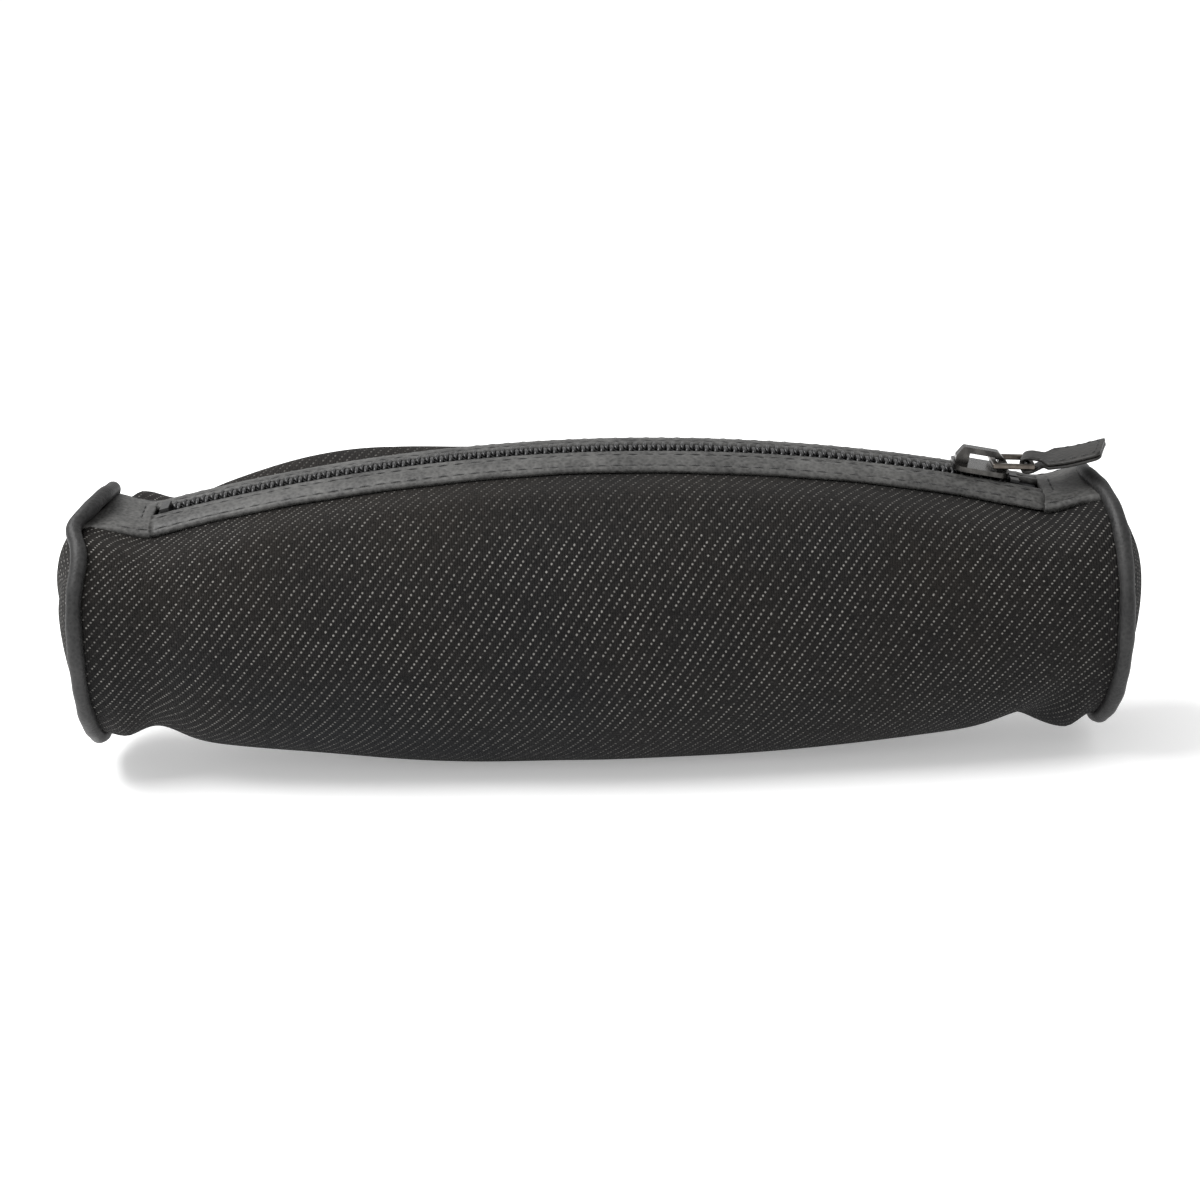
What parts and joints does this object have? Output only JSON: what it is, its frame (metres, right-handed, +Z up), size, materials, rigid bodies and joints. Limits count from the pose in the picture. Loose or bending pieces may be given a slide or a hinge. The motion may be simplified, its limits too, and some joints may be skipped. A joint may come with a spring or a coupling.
{
  "type": "zip case",
  "caption": "Soft cylindrical zip case for brushes and pens: stuffed denim tube, piped round ends, leather-faced zip, slider with ring and leather pull.",
  "frame": {"origin": "centre of the flat patch of denim that the case lies on", "axes": "+X along the case towards the closed end of the zip, +Y towards the rear, +Z up"},
  "size_m": [0.1994, 0.0596, 0.0586],
  "materials": {
    "denim": "3/1 twill, matte with pale flecks",
    "lining": "plain weave, slightly glossy",
    "board": "matte",
    "cord_core": "twisted cotton",
    "leather": "fine-grained, satin",
    "thread": "twisted polyester",
    "zip_tape": "knitted tape",
    "zip_coil": "glossy nylon",
    "gunmetal": "polished gunmetal plating"
  },
  "bodies": {
    "base": {"bottom_stop": "zip_coil", "denim_base": "denim", "left_end_lining": "lining", "left_end_panel": "denim", "left_end_stiffener": "board", "left_facing_end": "leather", "left_facing_stitching": "thread", "left_piping_cord": "cord_core", "left_piping_cover": "leather", "left_seam_binding": "lining", "left_zip_coil_end": "zip_coil", "left_zip_tape_end": "zip_tape", "lining_base": "lining", "right_end_lining": "lining", "right_end_panel": "denim", "right_end_stiffener": "board", "right_facing_end": "leather", "right_facing_stitching": "thread", "right_piping_cord": "cord_core", "right_piping_cover": "leather", "right_seam_binding": "lining", "right_zip_coil_end": "zip_coil", "right_zip_tape_end": "zip_tape", "top_stops": "zip_coil"},
    "front_wall": {"denim_front": "denim", "lining_front": "lining", "front_zip_tape": "zip_tape", "front_zip_coil": "zip_coil", "front_facing": "leather", "front_facing_stitching": "thread"},
    "rear_wall": {"denim_rear": "denim", "lining_rear": "lining", "rear_zip_tape": "zip_tape", "rear_zip_coil": "zip_coil", "rear_facing": "leather", "rear_facing_stitching": "thread"},
    "slider": {"slider_body": "gunmetal", "slider_bridge": "gunmetal"},
    "pull_ring": {"pull_ring": "gunmetal"},
    "pull_tab": {"pull_tab": "leather", "pull_tab_stitching": "thread"}
  },
  "joints": [
    {"name": "zipper_travel", "type": "hinge", "parent": "base", "child": "slider", "pos_m": [0, 0, -0.293], "axis": [0, -1, 0], "range_deg": [0, 23.19]},
    {"name": "front_mouth", "type": "hinge", "parent": "base", "child": "front_wall", "pos_m": [0, -0.00715, 0], "axis": [1, 0, 0], "range_deg": [0, 12], "stiffness_Nm_per_rad": 0.1, "springref_deg": -5.73},
    {"name": "rear_mouth", "type": "hinge", "parent": "base", "child": "rear_wall", "pos_m": [0, 0.00715, 0], "axis": [-1, 0, 0], "range_deg": [0, 12], "stiffness_Nm_per_rad": 0.1, "springref_deg": -5.73},
    {"name": "ring_swing", "type": "hinge", "parent": "slider", "child": "pull_ring", "pos_m": [0.07261, 0, 0.05328], "axis": [0, -1, 0], "range_deg": [0, 110]},
    {"name": "tab_swing", "type": "hinge", "parent": "pull_ring", "child": "pull_tab", "pos_m": [0.0794, 0, 0.05291], "axis": [0, -1, 0], "range_deg": [-9, 60]}
  ],
  "couplings": [
    {"joint": "rear_mouth", "follows": "front_mouth", "ratio": 1}
  ]
}
